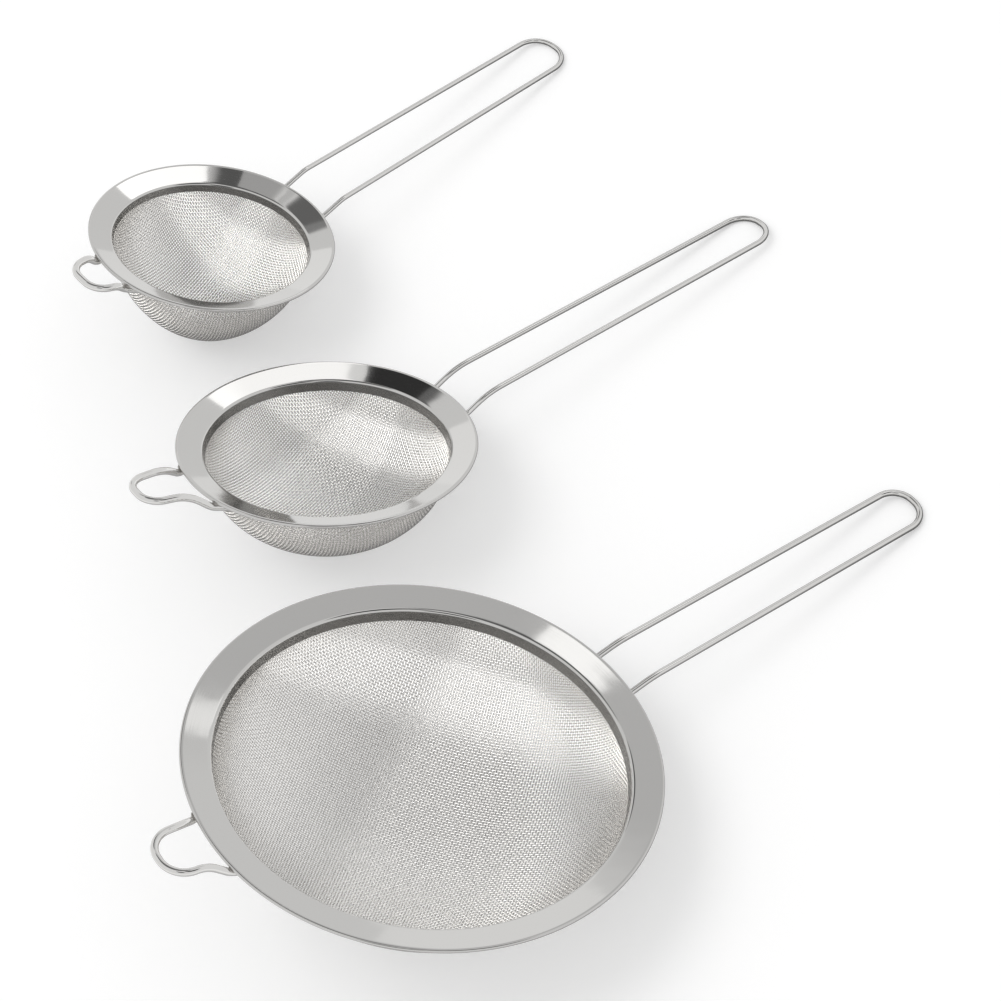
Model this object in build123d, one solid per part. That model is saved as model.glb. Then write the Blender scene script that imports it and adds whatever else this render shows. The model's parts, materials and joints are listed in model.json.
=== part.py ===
from build123d import *
import os
from dataclasses import dataclass
from itertools import product
from math import atan, atan2, ceil, cos, degrees, hypot, radians, sin, sqrt, tan

# Three single-mesh hand strainers of one design, standing on a table with their handles
# side by side. Every strainer is built in its own frame: the top of its rim is the plane
# z = 0, its axis is Z and its handle points along +X. It is then set down on the table.
# All lengths are millimetres and all angles degrees.

# Pressed stainless sheet and wire shared by the three sizes
SHEET = 0.5             # thickness of the rim
ROLL_RADIUS = 0.9       # rolled outer edge of the rim
BEND_RADIUS = 1.8       # outside of the bend from flange to collar
COLLAR_TAPER = 0.8      # the collar draws in by this much at its lower edge
CLOTH = 0.6             # woven wire cloth, as a skin
SNUG = 0.05             # room between pieces that are pinched together
BAND_SHEET = 0.5        # clamp band round the collar
BAND_CLEAR = 1.9        # between the band and the flange above it
EAR_WIRE = 3.4
WELD_SPREAD = 0.6       # how far a spot weld is squeezed out past its wire
WELD_THICKNESS = 0.9
LIFT_OFF = 0.02         # foot of a wire under the rim, before it is welded

# The weave is far too fine for a solid, so a plain grid of openings stands for it
GRID_PITCH = 14.4       # between two bars
GRID_BAR = 2.0          # width of a bar
GRID_HEM = 3.0          # left whole below the collar

# How the wire loops are bent
FOOT_LENGTH = 9.0       # of the feet under the rim, inward from its edge
KNEE_OUT = 11.0         # knee of the handle, outward from the rim's edge
EAR_FOOT_SPREAD = 3.0
EAR_FOOT_BEND = 7.0     # radius at the rim's edge
EAR_WAIST = 11.7        # half gap where the ear's legs stop closing in
END_ROUNDING = 0.93     # radius of a loop's end corners, as a share of its half gap


@dataclass
class Size:
    """Driving dimensions of one strainer, and where it stands."""

    name: str
    rim_radius: float
    flange_width: float
    flange_drop: float
    collar_height: float
    bowl_depth: float
    bowl_fullness: float    # exponent of the bowl's profile: 2 is an ellipse, less is slimmer
    handle_wire: float
    handle_reach: float     # from the rim's axis to the end of the loop
    handle_slope: float
    knee_rise: float
    knee_bend: float        # radius
    root_half_gap: float
    end_half_gap: float
    ear_root_half_gap: float
    ear_waist_out: float    # beyond the rim's edge
    ear_waist_rise: float
    ear_waist_bend: float   # radius
    ear_reach: float        # beyond the rim's edge
    ear_tip_half_gap: float
    ear_tip_rise: float
    ear_turn: float         # of the ear, away from straight opposite the handle
    weave_turn: float       # between the handle and the threads of the cloth
    place: tuple            # rim's centre on the table, from the large strainer's
    turn: float             # about the vertical
    lean: float             # sideways, about the handle


SIZES = [
    Size("large", 100.0, 13.5, 1.9, 5.6, 56.0, 1.95, 2.8, 262.9, 6.6, 0.4, 45.0, 11.7, 10.8,
         15.1, 7.6, 0.9, 15.0, 23.13, 11.6, 0.4, -5.6, 38.0, (0.0, 0.0), -1.2, 5.2),
    Size("medium", 66.0, 12.0, 3.0, 4.6, 47.3, 1.9, 2.5, 238.9, 9.4, 3.4, 40.0, 12.6, 11.2,
         15.3, 8.5, 3.5, 20.0, 26.8, 9.8, 4.2, -4.5, 20.0, (80.0, 173.4), -3.4, -8.6),
    Size("small", 56.0, 11.2, 3.6, 3.6, 52.5, 1.65, 2.3, 210.5, 9.9, 2.4, 18.0, 13.4, 11.7,
         11.3, 3.4, -0.3, 6.5, 14.4, 9.8, -0.5, -5.5, 12.0, (116.4, 306.5), 4.6, 2.3),
]


def flange_slope(s):
    return s.flange_drop / (s.flange_width - ROLL_RADIUS)


def underside(s, radius):
    """Height of the flange's lower face at a radius."""
    return -SHEET - (s.rim_radius - ROLL_RADIUS - radius) * flange_slope(s)


def collar_foot(s):
    """Inner radius and height of the collar's lower edge."""
    return (s.rim_radius - s.flange_width - COLLAR_TAPER, -s.flange_drop - s.collar_height)


def band_top(s):
    return collar_foot(s)[1] + s.collar_height - BAND_CLEAR


def revolved(outline):
    return revolve(Plane.XZ * make_face(outline), Axis.Z)


def rim(s):
    """Dished flange with a rolled edge, turned down into a short collar."""
    inner = s.rim_radius - s.flange_width
    foot_r, foot_z = collar_foot(s)
    edge = s.rim_radius - ROLL_RADIUS
    roll_in = s.rim_radius - 2 * ROLL_RADIUS
    diagonal = ROLL_RADIUS * sqrt(0.5)
    top = FilletPolyline((edge, 0), (inner, -s.flange_drop), (foot_r, foot_z),
                         radius=BEND_RADIUS)
    under = FilletPolyline((foot_r + SHEET, foot_z), (inner + SHEET, underside(s, inner + SHEET)),
                           (roll_in, underside(s, roll_in)), radius=BEND_RADIUS - SHEET)
    foot = Line((foot_r, foot_z), (foot_r + SHEET, foot_z))
    step = Line((roll_in, underside(s, roll_in)), (roll_in, -ROLL_RADIUS))
    roll = ThreePointArc((roll_in, -ROLL_RADIUS), (edge + diagonal, -ROLL_RADIUS - diagonal),
                         (edge, 0))
    return revolved(top + foot + under + step + roll)


def taper_line(s, offset, low, high):
    """Two points beside the collar's outer face, low and high up it."""
    foot_r, foot_z = collar_foot(s)
    lean_in = COLLAR_TAPER / s.collar_height
    return [(foot_r + SHEET + offset + (z - foot_z) * lean_in, z) for z in (low, high)]


def clamp_band(s):
    """Ring pressed over the collar that pinches the edge of the cloth."""
    foot_z = collar_foot(s)[1]
    gap = CLOTH + 2 * SNUG
    inner = taper_line(s, gap, foot_z, band_top(s))
    outer = taper_line(s, gap + BAND_SHEET, band_top(s), foot_z)
    return revolved(Polyline(*inner, *outer, close=True))


def bowl_curve(s, offset, step=10):
    """Profile of the cloth from the collar's lower edge to the axis."""
    foot_r, foot_z = collar_foot(s)
    across = foot_r + SHEET + SNUG + offset
    down = s.bowl_depth + foot_z - CLOTH + offset
    power = 2 / s.bowl_fullness
    return [(across * cos(radians(a)) ** power, foot_z - down * sin(radians(a)) ** power)
            for a in range(0, 90, step)] + [(0, foot_z - down)]


def grid_openings(s):
    """Upright square prisms, one for each opening of the grid that reaches inside the hem."""
    across, foot_z = collar_foot(s)
    count = ceil(across / GRID_PITCH)
    lines = [(k + 0.5) * GRID_PITCH for k in range(-count, count)]
    opening = Box(GRID_PITCH - GRID_BAR, GRID_PITCH - GRID_BAR, s.bowl_depth,
                  align=(Align.CENTER, Align.CENTER, Align.MAX))
    return [Rot(Z=s.weave_turn) * Pos(x, y, foot_z - GRID_HEM) * opening
            for x, y in product(lines, repeat=2)
            if hypot(abs(x) - GRID_PITCH / 2, abs(y) - GRID_PITCH / 2) < across - GRID_HEM]


def mesh_bowl(s):
    """Skin with the shape of the woven bowl, opened by the grid, its edge under the clamp band."""
    foot_z = collar_foot(s)[1]
    tuck = band_top(s) - 2 * SNUG
    inner = bowl_curve(s, 0)
    outer = bowl_curve(s, CLOTH)
    tuck_in = taper_line(s, SNUG, tuck, foot_z)
    tuck_out = taper_line(s, SNUG + CLOTH, foot_z, tuck)
    outline = (Polyline(*tuck_in) + Spline(*inner, tangents=[(0, -1), (-1, 0)])
               + Line(inner[-1], outer[-1]) + Spline(*outer[::-1], tangents=[(1, 0), (0, 1)])
               + Polyline(*tuck_out) + Line(tuck_out[-1], tuck_in[0]))
    return revolved(outline) - grid_openings(s)


def foot_height(s, radius, wire):
    """Centre height of a wire that lies against the rim from below."""
    return min(underside(s, radius), -2 * ROLL_RADIUS) - wire / 2 - LIFT_OFF


def mirrored(points):
    """A half loop's points, then the other half's in the opposite order."""
    return points + [(x, -y, z) for x, y, z in reversed(points)]


def bent_wire(points, radii, wire):
    path = FilletPolyline(*points, radius=radii + radii[::-1])
    section = Plane(origin=path @ 0, z_dir=path % 0) * Circle(wire / 2)
    return sweep(section, path=path)


def handle_tip_height(s):
    return s.knee_rise + (s.handle_reach - s.rim_radius - KNEE_OUT) * tan(radians(s.handle_slope))


def handle(s):
    """One wire from foot to foot, bent into a long closed loop."""
    edge = s.rim_radius
    tip = s.handle_reach - s.handle_wire / 2
    points = [
        (edge - FOOT_LENGTH, s.root_half_gap, foot_height(s, edge - FOOT_LENGTH, s.handle_wire)),
        (edge, s.root_half_gap, foot_height(s, edge, s.handle_wire)),
        (edge + KNEE_OUT, s.root_half_gap, s.knee_rise),
        (tip, s.end_half_gap, handle_tip_height(s)),
    ]
    return bent_wire(mirrored(points), [5.0, s.knee_bend, END_ROUNDING * s.end_half_gap], s.handle_wire)


def ear_loop(s):
    """Short wire loop that rests on a pot's edge, opposite the handle."""
    edge = s.rim_radius
    foot = edge - FOOT_LENGTH
    points = [
        (foot, s.ear_root_half_gap + EAR_FOOT_SPREAD, foot_height(s, foot, EAR_WIRE)),
        (edge - 1, s.ear_root_half_gap, foot_height(s, edge, EAR_WIRE)),
        (edge + s.ear_waist_out, EAR_WAIST, s.ear_waist_rise),
        (edge + s.ear_reach, s.ear_tip_half_gap, s.ear_tip_rise),
    ]
    bends = [EAR_FOOT_BEND, s.ear_waist_bend, END_ROUNDING * s.ear_tip_half_gap]
    loop = bent_wire(mirrored(points), bends, EAR_WIRE)
    return Rot(Z=180 + s.ear_turn) * loop


def welds(s, half_gap, spread, wire, turn):
    """Spot welds between the rim and the two feet of a wire."""
    spots = []
    for out in (1.6, 0.75 * FOOT_LENGTH):
        radius = s.rim_radius - out
        top = foot_height(s, radius, wire) + wire / 2
        side = half_gap + spread * out / FOOT_LENGTH
        along = sqrt(radius ** 2 - side ** 2)
        nugget = Cylinder(wire / 2 + WELD_SPREAD, WELD_THICKNESS)
        spot = Rot(Y=-degrees(atan(flange_slope(s)))) * nugget
        spots += [Rot(Z=turn) * Pos(along, y, top) * Rot(Z=degrees(atan2(y, along))) * spot
                  for y in (side, -side)]
    return Compound(spots)


def depths(s, tilt, points):
    """How far points of a strainer hang below its rim's centre at a tilt."""
    tip, lean = radians(tilt), radians(s.lean)
    return [x * sin(tip) - (y * sin(lean) + z * cos(lean)) * cos(tip) for x, y, z in points]


def bowl_depth_at(s, tilt):
    level = cos(radians(tilt)) * cos(radians(s.lean))
    slant = sqrt(1 - level ** 2)
    return max(r * slant - z * level for r, z in bowl_curve(s, CLOTH, 3))


def handle_depth_at(s, tilt):
    """Depth of the lowest point of the rounded end of the handle."""
    bend = END_ROUNDING * s.end_half_gap
    corner_x = s.handle_reach - s.handle_wire / 2 - bend
    corner_y = s.end_half_gap - bend
    height = handle_tip_height(s)
    slope = tan(radians(s.handle_slope))
    end = []
    for a in range(0, 91, 10):
        back = bend * (1 - cos(radians(a)))
        side = corner_y + bend * sin(radians(a))
        end += [(corner_x + bend - back, y, height - back * slope) for y in (side, -side)]
    return max(depths(s, tilt, end)) + s.handle_wire / 2


def rest_tilt(s):
    """Tilt towards the handle at which bowl and handle both touch the table."""
    low, high = 0.0, 45.0
    for _ in range(40):
        tilt = (low + high) / 2
        if handle_depth_at(s, tilt) < bowl_depth_at(s, tilt):
            low = tilt
        else:
            high = tilt
    return tilt


def set_down(s):
    """Placement of a strainer on the table."""
    tilt = rest_tilt(s)
    return Pos(*s.place, bowl_depth_at(s, tilt)) * Rot(Z=s.turn) * Rot(Y=tilt) * Rot(X=s.lean)


def strainer(s):
    """The pieces of one strainer on the table, by node name."""
    pieces = {
        "rim": rim(s),
        "clamp_band": clamp_band(s),
        "mesh_bowl": mesh_bowl(s),
        "handle": handle(s),
        "ear_loop": ear_loop(s),
        "handle_welds": welds(s, s.root_half_gap, 0, s.handle_wire, 0),
        "ear_welds": welds(s, s.ear_root_half_gap, EAR_FOOT_SPREAD, EAR_WIRE, 180 + s.ear_turn),
    }
    placement = set_down(s)
    return {f"{s.name}_{piece}": placement * shape for piece, shape in pieces.items()}


os.makedirs("parts", exist_ok=True)
nodes = {}
for size in SIZES:
    nodes.update(strainer(size))

# The origin is on the table under the middle of the whole set's box
box = Compound(list(nodes.values())).bounding_box()
centre = box.center()
for node, shape in nodes.items():
    export_step(Pos(-centre.X, -centre.Y, 0) * shape, f"parts/{node}.step")
print("rim centre of the large strainer", round(-centre.X, 2), round(-centre.Y, 2))
print("lowest point", round(box.min.Z, 3), "size", box.size)
for size in SIZES:
    print(size.name, "tilt", round(rest_tilt(size), 2))
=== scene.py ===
import json
from math import atan, atan2, cos, hypot, pi, radians, sin, sqrt, tan

import bpy
import numpy as np
from mathutils import Matrix, Vector


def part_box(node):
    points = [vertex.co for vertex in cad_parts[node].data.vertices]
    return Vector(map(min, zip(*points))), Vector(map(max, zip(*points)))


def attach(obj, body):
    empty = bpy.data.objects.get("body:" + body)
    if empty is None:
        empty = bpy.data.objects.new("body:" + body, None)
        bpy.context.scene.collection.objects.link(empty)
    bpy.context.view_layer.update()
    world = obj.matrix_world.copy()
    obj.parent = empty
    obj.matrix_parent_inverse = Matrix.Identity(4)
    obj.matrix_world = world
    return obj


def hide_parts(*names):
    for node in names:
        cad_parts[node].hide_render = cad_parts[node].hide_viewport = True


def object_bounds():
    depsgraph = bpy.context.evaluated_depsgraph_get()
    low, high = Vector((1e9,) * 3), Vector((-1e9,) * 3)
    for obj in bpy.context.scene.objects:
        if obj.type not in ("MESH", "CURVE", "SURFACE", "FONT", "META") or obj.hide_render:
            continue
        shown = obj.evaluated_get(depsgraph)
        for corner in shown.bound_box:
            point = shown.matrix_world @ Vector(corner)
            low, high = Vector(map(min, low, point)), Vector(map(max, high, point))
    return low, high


bl_info = {
    "name": "Wire mesh strainers",
    "version": (1, 0, 0),
    "blender": (4, 5, 0),
    "location": "View3D > Sidebar > Strainers",
    "description": "Builds a set of wire mesh hand strainers with pressed rims and woven bowls",
    "category": "Object",
}

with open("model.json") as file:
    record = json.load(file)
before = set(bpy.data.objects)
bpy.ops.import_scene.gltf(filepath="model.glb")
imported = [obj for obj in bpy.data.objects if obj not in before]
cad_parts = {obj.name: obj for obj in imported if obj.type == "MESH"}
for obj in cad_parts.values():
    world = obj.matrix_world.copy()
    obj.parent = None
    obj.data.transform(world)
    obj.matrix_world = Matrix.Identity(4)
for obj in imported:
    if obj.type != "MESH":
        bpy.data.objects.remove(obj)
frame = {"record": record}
CAD_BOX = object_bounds()

# Each strainer is built in its own frame: the top of its rim is the plane z = 0, its axis is Z
# and its handle points along +X. Lengths here are millimetres and angles degrees, and the
# property groups turn them to metres and radians.
MM = 0.001
SHEET = 0.5 * MM            # thickness of the rim
ROLL_RADIUS = 0.9 * MM      # rolled outer edge of the rim
BEND_RADIUS = 1.8 * MM      # outside of the bend from flange to collar
COLLAR_TAPER = 0.8 * MM     # how much narrower the collar is at its foot
SNUG = 0.05 * MM            # between parts that are pressed together
CLOTH_ROOM = 0.6 * MM       # between the collar and the clamp band
BAND_SHEET = 0.5 * MM
BAND_EDGE = 0.15 * MM
BAND_CLEAR = 1.9 * MM       # between the band and the flange above it
WELD_SPREAD = 0.6 * MM      # how far a spot weld is squeezed out past its wire
WELD_THICKNESS = 0.9 * MM
WELD_EDGE = 0.3 * MM
WELD_OUTER = 1.6 * MM       # from the rim's edge to the outer welds
WELD_INNER = 0.75           # place of the inner welds, as a share of the foot's length
LIFT_OFF = 0.02 * MM
FOOT_LENGTH = 9 * MM        # of a wire's feet under the rim
FOOT_BEND = 5 * MM          # radius of the handle's wire at the rim's edge
KNEE_OUT = 11 * MM          # knee of the handle, outward from the rim's edge
EAR_FOOT_SPREAD = 3 * MM
EAR_FOOT_IN = 1 * MM        # bend of the rest loop's feet, inward from the rim's edge
EAR_FOOT_BEND = 7 * MM      # its radius
EAR_WAIST = 11.7 * MM       # half gap where the rest loop's legs stop closing in
END_ROUNDING = 0.93         # radius of a loop's end corners, as a share of its half gap
WIRE_FACETS = 8             # of each quarter of a wire's girth
WIRE_CREASE = 50            # keeps the rim of a wire's cut end crisp

SIZES = {
    "large": {
        "rim_radius": 100, "flange_width": 13.5, "flange_drop": 1.9, "collar_height": 5.6,
        "bowl_depth": 56, "bowl_fullness": 1.95, "handle_wire": 2.8, "handle_reach": 262.9,
        "handle_slope": 6.6, "knee_rise": 0.4, "knee_bend": 45,
        "root_half_gap": 11.7, "end_half_gap": 10.8, "ear_root_half_gap": 15.1,
        "ear_waist_out": 7.6, "ear_waist_rise": 0.9, "ear_waist_bend": 15,
        "ear_reach": 23.13, "ear_tip_half_gap": 11.6, "ear_tip_rise": 0.4, "ear_turn": -5.6,
        "weave_turn": 38,
    },
    "medium": {
        "rim_radius": 66, "flange_width": 12, "flange_drop": 3, "collar_height": 4.6,
        "bowl_depth": 47.3, "bowl_fullness": 1.9, "handle_wire": 2.5, "handle_reach": 238.9,
        "handle_slope": 9.4, "knee_rise": 3.4, "knee_bend": 40,
        "root_half_gap": 12.6, "end_half_gap": 11.2, "ear_root_half_gap": 15.3,
        "ear_waist_out": 8.5, "ear_waist_rise": 3.5, "ear_waist_bend": 20,
        "ear_reach": 26.8, "ear_tip_half_gap": 9.8, "ear_tip_rise": 4.2, "ear_turn": -4.5,
        "weave_turn": 20,
    },
    "small": {
        "rim_radius": 56, "flange_width": 11.2, "flange_drop": 3.6, "collar_height": 3.6,
        "bowl_depth": 52.5, "bowl_fullness": 1.65, "handle_wire": 2.3, "handle_reach": 210.5,
        "handle_slope": 9.9, "knee_rise": 2.4, "knee_bend": 18,
        "root_half_gap": 13.4, "end_half_gap": 11.7, "ear_root_half_gap": 11.3,
        "ear_waist_out": 3.4, "ear_waist_rise": -0.3, "ear_waist_bend": 6.5,
        "ear_reach": 14.4, "ear_tip_half_gap": 9.8, "ear_tip_rise": -0.5, "ear_turn": -5.5,
        "weave_turn": 12,
    },
}


def srgb(code):
    """Linear colour of a hex value."""
    shares = [int(code[i:i + 2], 16) / 255 for i in (0, 2, 4)]
    return tuple(c / 12.92 if c <= 0.04045 else ((c + 0.055) / 1.055) ** 2.4 for c in shares)


# Properties

def length(name, description, default, least=0):
    return bpy.props.FloatProperty(name=name, description=description, default=default * MM,
                                   min=least * MM, unit="LENGTH")


def angle(name, description, default):
    return bpy.props.FloatProperty(name=name, description=description,
                                   default=radians(default), unit="ROTATION")


def colour(name, description, code):
    return bpy.props.FloatVectorProperty(name=name, description=description,
                                         default=srgb(code), min=0, max=1, subtype="COLOR")


class StrainerSize(bpy.types.PropertyGroup):
    """Driving sizes of one strainer."""

    rim_radius: length("Rim radius", "From the axis to the rolled edge", 100)
    flange_width: length("Flange width", "From the rolled edge to the collar", 13.5)
    flange_drop: length("Flange drop", "How far the flange falls towards the bowl", 1.9)
    collar_height: length("Collar height", "Of the short wall that carries the cloth", 5.6)
    bowl_depth: length("Bowl depth", "From the rim's top to the bottom of the cloth", 56)
    bowl_fullness: bpy.props.FloatProperty(
        name="Bowl fullness", description="Exponent of the bowl's profile, 2 is an ellipse",
        default=1.95, min=1.2, max=4)
    handle_wire: length("Handle wire", "Diameter of the handle's wire", 2.8)
    handle_reach: length("Handle reach", "From the rim's axis to the end of the loop", 262.9)
    handle_slope: angle("Handle slope", "Rise of the handle above the rim's plane", 6.6)
    knee_rise: length("Knee rise", "Height of the handle's knee above the rim", 0.4)
    knee_bend: length("Knee bend", "Radius of the handle's knee", 45)
    root_half_gap: length("Root half gap", "Half the handle's width at the rim", 11.7)
    end_half_gap: length("End half gap", "Half the handle's width at its end", 10.8)
    ear_root_half_gap: length("Ear root half gap", "Half the rest loop's width at the rim", 15.1)
    ear_waist_out: length("Ear waist out", "From the rim to the rest loop's waist", 7.6)
    ear_waist_rise: length("Ear waist rise", "Height of the rest loop's waist", 0.9, -10)
    ear_waist_bend: length("Ear waist bend", "Radius of the rest loop's waist", 15)
    ear_reach: length("Ear reach", "How far the rest loop reaches past the rim", 23.13)
    ear_tip_half_gap: length("Ear tip half gap", "Half the rest loop's width at its end", 11.6)
    ear_tip_rise: length("Ear tip rise", "Height of the rest loop's end", 0.4, -10)
    ear_turn: angle("Ear turn", "Of the rest loop, away from straight opposite", -5.6)
    weave_turn: angle("Weave turn", "Between the handle and the cloth's threads", 38)


class StrainerFinish(bpy.types.PropertyGroup):
    """Sizes and colours that the three strainers share."""

    ear_wire: length("Ear wire", "Diameter of the rest loop's wire", 3.4)
    # The real cloth is finer, near 0.36 mm thread every 1.1 mm, and is drawn coarser so that its
    # single threads show
    thread_pitch: length("Thread pitch", "Between two threads of the cloth", 1.25)
    thread: length("Thread", "Diameter of one thread of the cloth", 0.5)
    sheet_colour: colour("Sheet", "Of the pressed sheet", "D3D2D0")
    # Painted shade: the collar's darker grey stands in for the shade that it mirrors
    collar_colour: colour("Collar", "Of the sheet inside the collar", "7C7B79")
    wire_colour: colour("Wire", "Of the drawn wire", "E6E5E3")
    cloth_colour: colour("Cloth", "Of the woven threads", "EBE9E6")
    weld_colour: colour("Weld", "Of the spot welds", "A9A6A2")


def sizes():
    """Name and driving sizes of each strainer."""
    return [(item.name, item) for item in bpy.context.scene.strainer_sizes]


def finish():
    return bpy.context.scene.strainer_finish


# Where each strainer lies

def placement(name, size):
    """Matrix from a strainer's own frame to the table, from its packed rim and hanging loop."""
    loop = next(m for m in frame["record"]["mounts"] if m["name"] == f"{name}_hanging_loop")
    up = Vector(loop["axis"]).normalized()
    low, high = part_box(f"{name}_rim")
    swing = size.rim_radius - ROLL_RADIUS
    centre = (Vector(low) + Vector(high)) / 2
    centre.z = high[2] - ROLL_RADIUS - swing * sqrt(1 - up.z ** 2)
    centre += ROLL_RADIUS * up
    reach = Vector(loop["pos_m"]) - centre
    ahead = (reach - reach.dot(up) * up).normalized()
    across = up.cross(ahead)
    turn = Matrix((ahead, across, up)).transposed().to_4x4()
    return Matrix.Translation(centre) @ turn


# Shapes

def flange_slope(size):
    return size.flange_drop / (size.flange_width - ROLL_RADIUS)


def underside(size, radius):
    """Height of the flange's lower face at a radius."""
    return -SHEET - (size.rim_radius - ROLL_RADIUS - radius) * flange_slope(size)


def collar_foot(size):
    """Inner radius and height of the collar's lower edge."""
    return (size.rim_radius - size.flange_width - COLLAR_TAPER,
            -size.flange_drop - size.collar_height)


def band_top(size):
    return -size.flange_drop - BAND_CLEAR


def foot_height(size, radius, wire):
    """Centre height of a wire that lies against the rim from below."""
    return min(underside(size, radius), -2 * ROLL_RADIUS) - wire / 2 - LIFT_OFF


def rounded(corners, radii, steps=14):
    """Open line through corners, with an arc at each one between its ends."""
    path = [corners[0]]
    for before, corner, after, radius in zip(corners, corners[1:], corners[2:], radii):
        back = (before - corner).normalized()
        on = (after - corner).normalized()
        half = back.angle(on) / 2
        centre = corner + (back + on).normalized() * radius / sin(half)
        start = (corner + back * radius / tan(half) - centre) / radius
        end = (corner + on * radius / tan(half) - centre) / radius
        path += [centre + start.slerp(end, step / steps) * radius for step in range(steps + 1)]
    return path + [corners[-1]]


def finely(outline, step=0.8 * MM):
    """The same outline with its long runs cut up, so that smooth shading leaves them flat."""
    fine = []
    for here, there in zip(outline, outline[1:] + outline[:1]):
        cuts = max(1, int((there - here).length / step))
        fine += [here.lerp(there, cut / cuts) for cut in range(cuts)]
    return fine


def section(*points):
    """Points of a lathe section, from pairs of radius and height."""
    return [Vector((radius, 0, height)) for radius, height in points]


def mesh_of(name, points, faces, sharp=35):
    """Smooth mesh whose edges sharper than an angle stay crisp."""
    mesh = bpy.data.meshes.new(name)
    mesh.from_pydata(points, [], faces)
    mesh.validate()
    mesh.shade_smooth()
    mesh.set_sharp_from_angle(angle=radians(sharp))
    return mesh


def lathe(name, outline, steps=288):
    """Ring made by turning a closed section about the axis."""
    outline = finely(outline)
    turns = [2 * pi * step / steps for step in range(steps)]
    points = [(p.x * cos(a), p.x * sin(a), p.z) for a in turns for p in outline]
    count = len(outline)
    faces = []
    for step in range(steps):
        here = step * count
        there = (step + 1) % steps * count
        faces += [(here + i, here + (i + 1) % count, there + (i + 1) % count, there + i)
                  for i in range(count)]
    return mesh_of(name, points, faces)


def wire_mesh(name, path, diameter):
    """Round wire along a line, with closed ends."""
    curve = bpy.data.curves.new(name, "CURVE")
    curve.dimensions = "3D"
    spline = curve.splines.new("POLY")
    spline.points.add(len(path) - 1)
    for point, place in zip(spline.points, path):
        point.co = (*place, 1)
    curve.bevel_depth = diameter / 2
    curve.bevel_resolution = WIRE_FACETS
    curve.use_fill_caps = True
    holder = bpy.data.objects.new(name, curve)
    bpy.context.collection.objects.link(holder)
    graph = bpy.context.evaluated_depsgraph_get()
    mesh = bpy.data.meshes.new_from_object(holder.evaluated_get(graph))
    bpy.data.objects.remove(holder)
    bpy.data.curves.remove(curve)
    mesh.name = name
    mesh.materials.clear()
    mesh.shade_smooth()
    mesh.set_sharp_from_angle(angle=radians(WIRE_CREASE))
    return mesh


def mark_collar(mesh, size):
    """Marks the collar, which a buffing wheel doesn't reach, so the sheet there is rougher; its darker
    grey is painted shade.
    """
    bend = size.rim_radius - size.flange_width
    marks = [float(hypot(v.co.x, v.co.y) < bend) for v in mesh.vertices]
    mesh.attributes.new("collar", "FLOAT", "POINT").data.foreach_set("value", marks)


def put(name, mesh, matrix, material, body, node):
    """Sets a piece down where its strainer lies and ties it to its body. The mesh keeps each
    point's place in the strainer's own frame, which the finishes are laid out by."""
    own = np.empty(3 * len(mesh.vertices), np.float32)
    mesh.vertices.foreach_get("co", own)
    mesh.attributes.new("own_place", "FLOAT_VECTOR", "POINT").data.foreach_set("vector", own)
    mesh.transform(matrix)
    mesh.materials.append(material)
    piece = bpy.data.objects.new(name, mesh)
    bpy.context.collection.objects.link(piece)
    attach(piece, body)
    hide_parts(node)
    return piece


def rim_section(size):
    """Dished flange with a rolled edge, turned down into a short collar."""
    inner = size.rim_radius - size.flange_width
    foot_r, foot_z = collar_foot(size)
    edge = size.rim_radius - ROLL_RADIUS
    roll_in = edge - ROLL_RADIUS
    top = rounded(section((edge, 0), (inner, -size.flange_drop), (foot_r, foot_z)), [BEND_RADIUS])
    under = rounded(section((foot_r + SHEET, foot_z), (inner + SHEET, underside(size, inner + SHEET)),
                            (roll_in, underside(size, roll_in))), [BEND_RADIUS - SHEET])
    roll = section(*[(edge + ROLL_RADIUS * cos(radians(a)), -ROLL_RADIUS + ROLL_RADIUS * sin(radians(a)))
                     for a in range(-180, 90, 15)])
    return top + under + roll


def band_section(size):
    """Clamp band, a thin straight wall beside the collar."""
    foot_r, foot_z = collar_foot(size)
    inside = foot_r + SHEET + CLOTH_ROOM + 2 * SNUG
    lean = COLLAR_TAPER / size.collar_height
    rise = band_top(size) - foot_z
    corners = section((inside, foot_z), (inside + rise * lean, band_top(size)),
                      (inside + rise * lean + BAND_SHEET, band_top(size)),
                      (inside + BAND_SHEET, foot_z))
    middle = (corners[3] + corners[0]) / 2
    return rounded([middle] + corners + [middle], [BAND_EDGE] * len(corners), 4)[:-1]


def handle_path(size):
    """Centre line of the handle, from foot to foot."""
    edge = size.rim_radius
    foot = edge - FOOT_LENGTH
    tip = size.handle_reach - size.handle_wire / 2
    tip_height = size.knee_rise + (size.handle_reach - edge - KNEE_OUT) * tan(size.handle_slope)
    half = [
        Vector((foot, size.root_half_gap, foot_height(size, foot, size.handle_wire))),
        Vector((edge, size.root_half_gap, foot_height(size, edge, size.handle_wire))),
        Vector((edge + KNEE_OUT, size.root_half_gap, size.knee_rise)),
        Vector((tip, size.end_half_gap, tip_height)),
    ]
    return loop_path(half, [FOOT_BEND, size.knee_bend, END_ROUNDING * size.end_half_gap])


def ear_path(size, wire):
    """Centre line of the rest loop, opposite the handle."""
    edge = size.rim_radius
    foot = edge - FOOT_LENGTH
    half = [
        Vector((foot, size.ear_root_half_gap + EAR_FOOT_SPREAD, foot_height(size, foot, wire))),
        Vector((edge - EAR_FOOT_IN, size.ear_root_half_gap, foot_height(size, edge, wire))),
        Vector((edge + size.ear_waist_out, EAR_WAIST, size.ear_waist_rise)),
        Vector((edge + size.ear_reach, size.ear_tip_half_gap, size.ear_tip_rise)),
    ]
    bends = [EAR_FOOT_BEND, size.ear_waist_bend, END_ROUNDING * size.ear_tip_half_gap]
    turn = Matrix.Rotation(pi + size.ear_turn, 3, "Z")
    return [turn @ p for p in loop_path(half, bends)]


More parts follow.
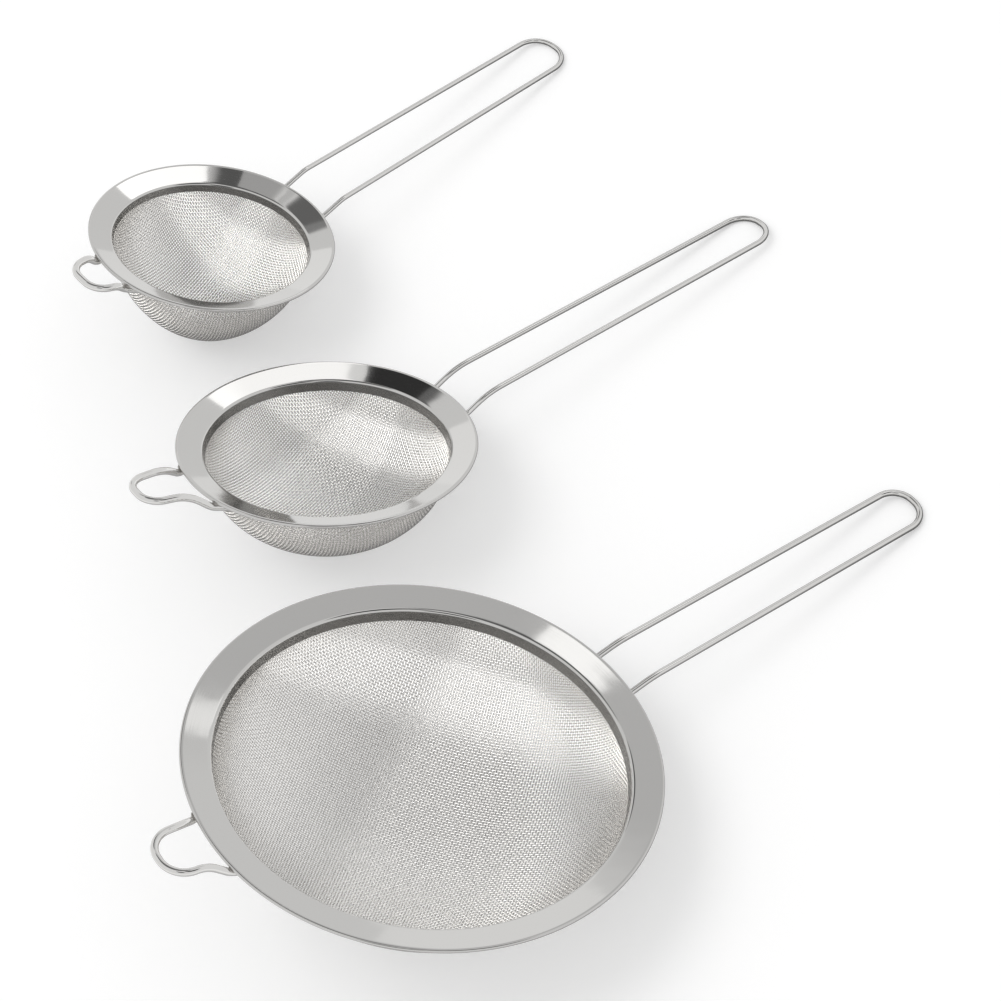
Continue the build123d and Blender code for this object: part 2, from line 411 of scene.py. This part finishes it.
def loop_path(half, radii):
    """Closed-ended loop from the points of its one half."""
    other = [Vector((p.x, -p.y, p.z)) for p in reversed(half)]
    return rounded(half + other, radii + radii[::-1])


def bowl_profile(size, steps=240):
    """Radius, height and distance along the cloth from the bowl's bottom to its tucked edge."""
    foot_r, foot_z = collar_foot(size)
    across = foot_r + SHEET + SNUG
    down = size.bowl_depth + foot_z - CLOTH_ROOM
    power = 2 / size.bowl_fullness
    angles = np.linspace(pi / 2, 0, steps)
    radius = across * np.cos(angles) ** power
    radius[0] = 0
    height = foot_z - down * np.sin(angles) ** power
    tuck = band_top(size)
    radius = np.append(radius, across + (tuck - foot_z) * COLLAR_TAPER / size.collar_height)
    height = np.append(height, tuck)
    along = np.append(0, np.cumsum(np.hypot(np.diff(radius), np.diff(height))))
    return radius, height, along


def drawn_cloth(size, flat):
    """Places and outward normals on the bowl of points on the flat cloth that it is drawn from."""
    radius, height, along = bowl_profile(size)
    span = np.hypot(flat[:, 0], flat[:, 1])
    turn = np.arctan2(flat[:, 1], flat[:, 0])
    r = np.interp(span, along, radius)
    z = np.interp(span, along, height)
    nearby = 0.5 * MM
    outer = np.minimum(span + nearby, along[-1])
    inner = span - nearby
    dr = np.interp(outer, along, radius) - np.interp(inner, along, radius)
    dz = np.interp(outer, along, height) - np.interp(inner, along, height)
    steep = np.hypot(dr, dz)
    places = np.stack([r * np.cos(turn), r * np.sin(turn), z], 1)
    normals = np.stack([dz / steep * np.cos(turn), dz / steep * np.sin(turn), -dr / steep], 1)
    return places, normals


def threads(name, size, pitch, diameter, weft):
    """All threads of one direction of the cloth, each a square-built round wire that goes over
    and under the other direction's threads."""
    reach = bowl_profile(size)[2][-1]
    half = int(reach / pitch)
    crown = np.array([(1, 0), (0, 1), (-1, 0), (0, -1)]) * diameter / 2
    points, faces, first = [], [], 0
    for row in range(-half, half + 1):
        ends = int(sqrt(max(reach ** 2 - (row * pitch) ** 2, 0)) / pitch)
        if ends < 2:
            continue
        column = np.arange(-ends, ends + 1)
        flat = np.stack([column * pitch, np.full(len(column), row * pitch)], 1)
        side = np.where((column + row) % 2, 1.0, -1.0)
        if weft:
            flat = flat[:, ::-1]
            side = -side
        cosine, sine = cos(size.weave_turn), sin(size.weave_turn)
        flat = flat @ np.array([(cosine, sine), (-sine, cosine)])
        places, normals = drawn_cloth(size, flat)
        places = places + normals * (side * diameter / 2)[:, None]
        run = np.gradient(places, axis=0)
        across = np.cross(run, normals)
        across /= np.linalg.norm(across, axis=1)[:, None]
        ring = (places[:, None] + crown[None, :, :1] * normals[:, None]
                + crown[None, :, 1:] * across[:, None])
        points.append(ring.reshape(-1, 3))
        count = len(column)
        base = first + 4 * np.arange(count - 1)[:, None, None]
        corner = np.array([(k, (k + 1) % 4, (k + 1) % 4 + 4, k + 4) for k in range(4)])
        faces.append((base + corner).reshape(-1, 4))
        last = first + 4 * (count - 1)
        faces.append(np.array([(first + 3, first + 2, first + 1, first),
                               (last, last + 1, last + 2, last + 3)]))
        first += 4 * count
    mesh = bpy.data.meshes.new(name)
    mesh.from_pydata(np.concatenate(points).tolist(), [], np.concatenate(faces).tolist())
    mesh.shade_smooth()
    return mesh


# Materials

WAVE_LENGTH = 14 * MM           # soft waves that pressing leaves in the sheet
WAVE_DEPTH = 0.05 * MM
BUFFING_PITCH = 0.6 * MM        # real buffing lines are some 0.1 mm apart, too fine to show
BUFFED = (0.03, 0.09)           # range of roughness of the buffed sheet
COLLAR_ROUGHNESS = 0.25
DIE_MARKS = 5 * MM              # length of the shallow marks along the wire
DRAWN = (0.04, 0.09)            # range of roughness of the drawn wire
CLOTH_ROUGHNESS = 0.22
WELD_GRAIN = 0.5 * MM
PICKLED = (0.3, 0.5)            # range of roughness of the welds


def node(tree, kind, links=(), **settings):
    """Adds a node; a setting named after a socket sets it, any other is the node's own."""
    made = tree.nodes.new(kind)
    for key, value in settings.items():
        name = key.replace("_", " ")
        if name in made.inputs:
            made.inputs[name].default_value = value
        else:
            setattr(made, key, value)
    for socket, source in dict(links).items():
        tree.links.new(source, made.inputs[socket])
    return made


def blank(name):
    material = bpy.data.materials.get(name) or bpy.data.materials.new(name)
    material.use_nodes = True
    material.node_tree.nodes.clear()
    return material, material.node_tree


def polished_stainless_sheet():
    """Stainless sheet, pressed and then buffed as it spins. The buffing leaves faint rings that
    spread the reflections a little, and pressing leaves soft waves that give them ragged ends."""
    material, tree = blank("polished stainless sheet")
    place = node(tree, "ShaderNodeAttribute", attribute_name="own_place")
    waves = node(tree, "ShaderNodeTexNoise", {"Vector": place.outputs["Vector"]},
                 Scale=1 / WAVE_LENGTH, Detail=1.0, Roughness=0.4)
    dents = node(tree, "ShaderNodeBump", {"Height": waves.outputs["Fac"]},
                 Strength=1.0, Distance=WAVE_DEPTH)
    parts = node(tree, "ShaderNodeSeparateXYZ", {"Vector": place.outputs["Vector"]})
    flat = node(tree, "ShaderNodeCombineXYZ", {"X": parts.outputs["X"], "Y": parts.outputs["Y"]})
    radius = node(tree, "ShaderNodeVectorMath", {0: flat.outputs["Vector"]}, operation="LENGTH")
    rings = node(tree, "ShaderNodeTexNoise", {"W": radius.outputs["Value"]},
                 noise_dimensions="1D", Scale=1 / BUFFING_PITCH, Detail=3.0)
    haze = node(tree, "ShaderNodeMapRange", {"Value": rings.outputs["Fac"]},
                To_Min=BUFFED[0], To_Max=BUFFED[1])
    # The collar is rougher, and its darker grey is painted shade that stands in for the dark it mirrors
    collar = node(tree, "ShaderNodeAttribute", attribute_name="collar")
    rough = node(tree, "ShaderNodeMapRange",
                 {"Value": collar.outputs["Fac"], "To Min": haze.outputs["Result"]},
                 To_Max=COLLAR_ROUGHNESS)
    tone = node(tree, "ShaderNodeMix", {"Factor": collar.outputs["Fac"]}, data_type="RGBA")
    tone.inputs[6].default_value = (*finish().sheet_colour, 1)
    tone.inputs[7].default_value = (*finish().collar_colour, 1)
    steel = node(tree, "ShaderNodeBsdfPrincipled",
                 {"Base Color": tone.outputs[2], "Roughness": rough.outputs["Result"],
                  "Normal": dents.outputs["Normal"]}, Metallic=1.0)
    node(tree, "ShaderNodeOutputMaterial", {"Surface": steel.outputs["BSDF"]})
    return material


def bright_drawn_wire():
    """Stainless wire, drawn through a die and tumbled. Shallow die marks run along it, too fine
    to see, and leave a mirror with slightly soft edges."""
    material, tree = blank("bright drawn wire")
    place = node(tree, "ShaderNodeTexCoord")
    marks = node(tree, "ShaderNodeTexNoise", {"Vector": place.outputs["Object"]},
                 Scale=1 / DIE_MARKS, Detail=2.0)
    haze = node(tree, "ShaderNodeMapRange", {"Value": marks.outputs["Fac"]},
                To_Min=DRAWN[0], To_Max=DRAWN[1])
    steel = node(tree, "ShaderNodeBsdfPrincipled", {"Roughness": haze.outputs["Result"]},
                 Base_Color=(*finish().wire_colour, 1), Metallic=1.0)
    node(tree, "ShaderNodeOutputMaterial", {"Surface": steel.outputs["BSDF"]})
    return material


def woven_wire_cloth():
    """Annealed stainless thread, woven and then washed. Annealing dulls it, so each thread gives
    a broad pale glint and not a mirror line."""
    material, tree = blank("woven wire cloth")
    steel = node(tree, "ShaderNodeBsdfPrincipled", Base_Color=(*finish().cloth_colour, 1),
                 Metallic=1.0, Roughness=CLOTH_ROUGHNESS)
    node(tree, "ShaderNodeOutputMaterial", {"Surface": steel.outputs["BSDF"]})
    return material


def spot_weld():
    """Stainless squeezed between electrodes and pickled, a greyer and rougher skin."""
    material, tree = blank("pickled spot weld")
    place = node(tree, "ShaderNodeTexCoord")
    grain = node(tree, "ShaderNodeTexNoise", {"Vector": place.outputs["Object"]},
                 Scale=1 / WELD_GRAIN, Detail=2.0)
    haze = node(tree, "ShaderNodeMapRange", {"Value": grain.outputs["Fac"]},
                To_Min=PICKLED[0], To_Max=PICKLED[1])
    steel = node(tree, "ShaderNodeBsdfPrincipled", {"Roughness": haze.outputs["Result"]},
                 Base_Color=(*finish().weld_colour, 1), Metallic=1.0)
    node(tree, "ShaderNodeOutputMaterial", {"Surface": steel.outputs["BSDF"]})
    return material


# Operators

class STRAINER_OT_rims(bpy.types.Operator):
    """Lathe the pressed rims with their rolled edges"""

    bl_idname = "strainer.rims"
    bl_label = "Rims"

    def execute(self, context):
        for name, size in sizes():
            mesh = lathe(f"{name}_rim_sheet", rim_section(size))
            mark_collar(mesh, size)
            put(f"{name}_rim_sheet", mesh, placement(name, size), polished_stainless_sheet(),
                name, f"{name}_rim")
        return {"FINISHED"}


class STRAINER_OT_bands(bpy.types.Operator):
    """Lathe the clamp bands that pinch the cloth to the collars"""

    bl_idname = "strainer.bands"
    bl_label = "Clamp bands"

    def execute(self, context):
        for name, size in sizes():
            mesh = lathe(f"{name}_band", band_section(size))
            put(f"{name}_band", mesh, placement(name, size), polished_stainless_sheet(),
                name, f"{name}_clamp_band")
        return {"FINISHED"}


class STRAINER_OT_cloth(bpy.types.Operator):
    """Weave the bowls, warp and weft apart"""

    bl_idname = "strainer.cloth"
    bl_label = "Woven bowls"

    def execute(self, context):
        pitch, thread = finish().thread_pitch, finish().thread
        for name, size in sizes():
            for way, weft in (("warp", False), ("weft", True)):
                mesh = threads(f"{name}_{way}", size, pitch, thread, weft)
                put(f"{name}_{way}", mesh, placement(name, size), woven_wire_cloth(),
                    name, f"{name}_mesh_bowl")
        return {"FINISHED"}


class STRAINER_OT_handles(bpy.types.Operator):
    """Bend the long wire handles"""

    bl_idname = "strainer.handles"
    bl_label = "Handles"

    def execute(self, context):
        for name, size in sizes():
            mesh = wire_mesh(f"{name}_handle_wire", handle_path(size), size.handle_wire)
            put(f"{name}_handle_wire", mesh, placement(name, size), bright_drawn_wire(),
                name, f"{name}_handle")
        return {"FINISHED"}


class STRAINER_OT_ears(bpy.types.Operator):
    """Bend the short loops that rest on a pot"""

    bl_idname = "strainer.ears"
    bl_label = "Rest loops"

    def execute(self, context):
        wire = finish().ear_wire
        for name, size in sizes():
            mesh = wire_mesh(f"{name}_ear_wire", ear_path(size, wire), wire)
            put(f"{name}_ear_wire", mesh, placement(name, size), bright_drawn_wire(),
                name, f"{name}_ear_loop")
        return {"FINISHED"}


def weld_spots(size, half_gap, spread, wire, turn):
    """Places of the four spot welds under a wire's two feet, each level with the flange."""
    level = Matrix.Rotation(-atan(flange_slope(size)), 4, "Y")
    spots = []
    for out in (WELD_OUTER, WELD_INNER * FOOT_LENGTH):
        radius = size.rim_radius - out
        side = half_gap + spread * out / FOOT_LENGTH
        along = sqrt(radius ** 2 - side ** 2)
        top = foot_height(size, radius, wire) + wire / 2
        spots += [turn @ Matrix.Translation((along, y, top))
                  @ Matrix.Rotation(atan2(y, along), 4, "Z") @ level for y in (side, -side)]
    return spots


def weld_mesh(name, spots, radius, steps=24):
    """Round nuggets with softened edges, one at each spot."""
    half = WELD_THICKNESS / 2
    corners = section((0, -half), (radius, -half), (radius, half), (0, half))
    outline = rounded(corners, [WELD_EDGE, WELD_EDGE], 4)[1:-1]
    count = len(outline)
    points, faces = [], []
    for spot in spots:
        base = len(points)
        for step in range(steps):
            turn = spot @ Matrix.Rotation(2 * pi * step / steps, 4, "Z")
            points += [turn @ p for p in outline]
        for step in range(steps):
            here = base + step * count
            there = base + (step + 1) % steps * count
            faces += [(here + i, there + i, there + i + 1, here + i + 1) for i in range(count - 1)]
        faces.append([base + step * count for step in reversed(range(steps))])
        faces.append([base + step * count + count - 1 for step in range(steps)])
    return mesh_of(name, points, faces)


class STRAINER_OT_welds(bpy.types.Operator):
    """Add the spot welds between the rims and the wires"""

    bl_idname = "strainer.welds"
    bl_label = "Spot welds"

    def execute(self, context):
        ear_wire = finish().ear_wire
        for name, size in sizes():
            at_handle = weld_spots(size, size.root_half_gap, 0, size.handle_wire, Matrix.Identity(4))
            opposite = Matrix.Rotation(pi + size.ear_turn, 4, "Z")
            at_ear = weld_spots(size, size.ear_root_half_gap, EAR_FOOT_SPREAD, ear_wire, opposite)
            for part, wire, spots in (("handle", size.handle_wire, at_handle), ("ear", ear_wire, at_ear)):
                mesh = weld_mesh(f"{name}_{part}_spots", spots, wire / 2 + WELD_SPREAD)
                put(f"{name}_{part}_spots", mesh, placement(name, size), spot_weld(),
                    name, f"{name}_{part}_welds")
        return {"FINISHED"}


# Stage

# Azimuth 0 is along +Y and 90 along +X
AIM = Vector((28.9, -4.3, 0)) * MM      # point on the table that the camera looks at
CAMERA_AZIMUTH = 207.1
CAMERA_ELEVATION = 50.3
CAMERA_DISTANCE = 2.2
CAMERA_ROLL = 15.2
LENS = 179.6                            # focal length and film width in millimetres
FILM = 36

FLOOR_RADIUS = 6
FLOOR_WHITE = (0.82, 0.82, 0.82, 1)
FLOOR_LIFT = 0.25                       # lifts the floor to plain white where no shadow falls
CONTACT = (0.15, 0.95)                  # brightness of the mirrored floor, touching it and clear of it
CONTACT_REACH = 0.2                     # how far up the dark of a contact shows in metal

KEY_SIZE = 1.5
KEY_POWER = 12
KEY_PLACE = Vector((-1.0, 0.6, 2.2))
SOFT_BOX_DISTANCE = 6


def toward(azimuth, elevation):
    """Unit direction from degrees."""
    a, e = radians(azimuth), radians(elevation)
    return Vector((sin(a) * cos(e), cos(a) * cos(e), sin(e)))


# Shaded parts of the white room that polished metal mirrors: azimuth and elevation, angles from
# there to the end of the full shade and to the edge of the half shade, and brightness
SHADES = (
    (60, 50, 14.5, 21, 0.77),       # grey stretch of the ceiling
    (44, 74, 19.5, 21.8, 0.2),      # dark lamp housing overhead
    (26.5, 41.5, 7.8, 9.6, 0.2),    # black flag
    (33.5, 41.5, 6.8, 8, 0.25),     # a second one in front of its right half
    (207, 52, 9, 13, 0.02),         # black cloth behind the camera
    (148, 55, 12, 17, 0.05),        # dark lamp stand beside it
    (16, 9, 4, 8, 0.5),             # gap beside the backdrop
)

# Lit panels that only some pieces mirror: what they light, azimuth and elevation, half of their
# width and height as angles, and brightness on top of the white room
SOFT_BOXES = (
    (("large_rim_sheet",), 55.5, 52.3, 2.2, 3, 0.65),
    (("large_rim_sheet",), 71.5, 34.7, 2.5, 1.4, 0.35),
    (("large_rim_sheet",), 49, 27, 4.5, 5, 0.12),
    (("medium_rim_sheet",), 51.5, 37.5, 9.2, 11, 0.62),
    (("medium_rim_sheet", "small_rim_sheet"), 27, 8, 7, 14, 0.17),
    (("small_rim_sheet",), 79, 41, 6, 13.5, 0.75),
    (("small_rim_sheet",), 26, 41.5, 9, 9, 0.1),
    (("small_rim_sheet",), 45, 56.3, 6.5, 3.6, 0.28),
    (tuple(f"{name}_handle_wire" for name in SIZES), 80, 68, 14, 12, 0.45),
    (tuple(f"{name}_{way}" for name in SIZES for way in ("warp", "weft")), 257, 60, 30, 26, 2.4),
)


def world_light():
    """White all round. Only polished metal sees the shaded parts."""
    world = bpy.data.worlds.new("studio")
    bpy.context.scene.world = world
    world.use_nodes = True
    tree = world.node_tree
    tree.nodes.clear()
    way = node(tree, "ShaderNodeTexCoord")
    brightness = None
    for azimuth, elevation, full, edge, level in SHADES:
        nearness = node(tree, "ShaderNodeVectorMath", {0: way.outputs["Generated"]},
                        operation="DOT_PRODUCT")
        nearness.inputs[1].default_value = toward(azimuth, elevation)
        shade = node(tree, "ShaderNodeMapRange", {"Value": nearness.outputs["Value"]},
                     interpolation_type="SMOOTHSTEP", From_Min=cos(radians(edge)),
                     From_Max=cos(radians(full)), To_Min=1.0, To_Max=level)
        if brightness is None:
            brightness = shade.outputs["Result"]
        else:
            brightness = node(tree, "ShaderNodeMath", {0: brightness, 1: shade.outputs["Result"]},
                              operation="MULTIPLY").outputs["Value"]
    ray = node(tree, "ShaderNodeLightPath")
    level = node(tree, "ShaderNodeMix", {"Factor": ray.outputs["Is Glossy Ray"], "B": brightness}, A=1.0)
    light = node(tree, "ShaderNodeBackground", {"Strength": level.outputs["Result"]})
    node(tree, "ShaderNodeOutputWorld", {"Surface": light.outputs["Background"]})


def floor():
    """Matt white table top. It shows shadows and is white where none falls. What stands on it
    keeps the light off it, so polished metal mirrors it darker the closer it is."""
    material, tree = blank("matt white floor")
    ray = node(tree, "ShaderNodeLightPath")
    matt = node(tree, "ShaderNodeBsdfDiffuse", Color=FLOOR_WHITE)
    lift = node(tree, "ShaderNodeMapRange", {"Value": ray.outputs["Is Camera Ray"]},
                To_Max=FLOOR_LIFT)
    glow = node(tree, "ShaderNodeEmission", {"Strength": lift.outputs["Result"]})
    seen = node(tree, "ShaderNodeAddShader", {0: matt.outputs["BSDF"], 1: glow.outputs["Emission"]})
    depth = node(tree, "ShaderNodeMapRange", {"Value": ray.outputs["Ray Length"]},
                 From_Max=CONTACT_REACH, To_Min=CONTACT[0], To_Max=CONTACT[1])
    mirrored = node(tree, "ShaderNodeEmission", {"Strength": depth.outputs["Result"]})
    both = node(tree, "ShaderNodeMixShader", {0: ray.outputs["Is Glossy Ray"],
                                              1: seen.outputs["Shader"],
                                              2: mirrored.outputs["Emission"]})
    node(tree, "ShaderNodeOutputMaterial", {"Surface": both.outputs["Shader"]})
    bpy.ops.mesh.primitive_circle_add(vertices=128, radius=FLOOR_RADIUS, fill_type="NGON")
    ground = bpy.context.object
    ground.name = "floor"
    ground.location.z = CAD_BOX[0].z
    ground.data.materials.append(material)


def soft_box(names, azimuth, elevation, half_wide, half_high, level):
    """Lit panel that only the named pieces mirror. A level of 1 is as bright as the room."""
    lamp = bpy.data.lights.new("soft box", "AREA")
    lamp.shape = "RECTANGLE"
    lamp.size = 2 * SOFT_BOX_DISTANCE * tan(radians(half_wide))
    lamp.size_y = 2 * SOFT_BOX_DISTANCE * tan(radians(half_high))
    lamp.energy = 4 * lamp.size * lamp.size_y * level
    box = bpy.data.objects.new("soft box", lamp)
    bpy.context.collection.objects.link(box)
    pieces = [bpy.data.objects[name] for name in names]
    way = toward(azimuth, elevation)
    corners = [piece.matrix_world @ Vector(corner) for piece in pieces for corner in piece.bound_box]
    box.location = sum(corners, Vector()) / len(corners) + way * SOFT_BOX_DISTANCE
    box.rotation_euler = way.to_track_quat("Z", "Y").to_euler()
    box.visible_camera = False
    box.visible_diffuse = False
    lit = bpy.data.collections.new("lit by soft box")
    for piece in pieces:
        lit.objects.link(piece)
    box.light_linking.receiver_collection = lit


def camera():
    back = toward(CAMERA_AZIMUTH, CAMERA_ELEVATION)
    lens = bpy.data.cameras.new("camera")
    lens.lens = LENS
    lens.sensor_width = FILM
    eye = bpy.data.objects.new("camera", lens)
    bpy.context.collection.objects.link(eye)
    look = (-back).to_track_quat("-Z", "Y").to_matrix().to_4x4()
    tilt = Matrix.Rotation(radians(-CAMERA_ROLL), 4, "Z")
    eye.matrix_world = Matrix.Translation(AIM + back * CAMERA_DISTANCE) @ look @ tilt
    bpy.context.scene.camera = eye


def key_light():
    """Large soft lamp overhead that gives the shadows their direction."""
    lamp = bpy.data.lights.new("key light", "AREA")
    lamp.shape = "SQUARE"
    lamp.size = KEY_SIZE
    lamp.energy = KEY_POWER
    box = bpy.data.objects.new("key light", lamp)
    bpy.context.collection.objects.link(box)
    box.location = KEY_PLACE
    box.rotation_euler = KEY_PLACE.to_track_quat("Z", "Y").to_euler()
    box.visible_camera = False
    box.visible_glossy = False


class STRAINER_OT_stage(bpy.types.Operator):
    """Set up the floor, light and camera"""

    bl_idname = "strainer.stage"
    bl_label = "Stage"

    def execute(self, context):
        context.scene.view_settings.view_transform = "Standard"
        world_light()
        floor()
        key_light()
        for panel in SOFT_BOXES:
            soft_box(*panel)
        camera()
        return {"FINISHED"}


class STRAINER_PT_panel(bpy.types.Panel):
    """Sizes, colours and building steps of the strainers"""

    bl_label = "Wire mesh strainers"
    bl_idname = "STRAINER_PT_panel"
    bl_space_type = "VIEW_3D"
    bl_region_type = "UI"
    bl_category = "Strainers"

    def draw(self, context):
        layout = self.layout
        for title, group in sizes() + [("finish", finish())]:
            box = layout.box()
            box.label(text=title.capitalize())
            for key in group.__annotations__:
                box.prop(group, key)
        for step in STEPS:
            layout.operator(step.bl_idname)


STEPS = (STRAINER_OT_rims, STRAINER_OT_bands, STRAINER_OT_cloth, STRAINER_OT_handles,
         STRAINER_OT_ears, STRAINER_OT_welds, STRAINER_OT_stage)
CLASSES = (StrainerSize, StrainerFinish, *STEPS, STRAINER_PT_panel)
ANGLES = ("handle_slope", "ear_turn", "weave_turn")
PLAIN = ("bowl_fullness",)


def register():
    for cls in CLASSES:
        bpy.utils.register_class(cls)
    bpy.types.Scene.strainer_sizes = bpy.props.CollectionProperty(type=StrainerSize)
    bpy.types.Scene.strainer_finish = bpy.props.PointerProperty(type=StrainerFinish)


def unregister():
    del bpy.types.Scene.strainer_finish
    del bpy.types.Scene.strainer_sizes
    for cls in reversed(CLASSES):
        bpy.utils.unregister_class(cls)


def fill_sizes():
    """Gives the scene one entry per strainer."""
    for name, values in SIZES.items():
        entry = bpy.context.scene.strainer_sizes.add()
        entry.name = name
        for key, value in values.items():
            scale = radians(1) if key in ANGLES else 1 if key in PLAIN else MM
            setattr(entry, key, value * scale)


def main():
    register()
    fill_sizes()
    bpy.ops.strainer.rims()
    bpy.ops.strainer.bands()
    bpy.ops.strainer.cloth()
    bpy.ops.strainer.handles()
    bpy.ops.strainer.ears()
    bpy.ops.strainer.welds()
    bpy.ops.strainer.stage()


if __name__ == "__main__":
    main()
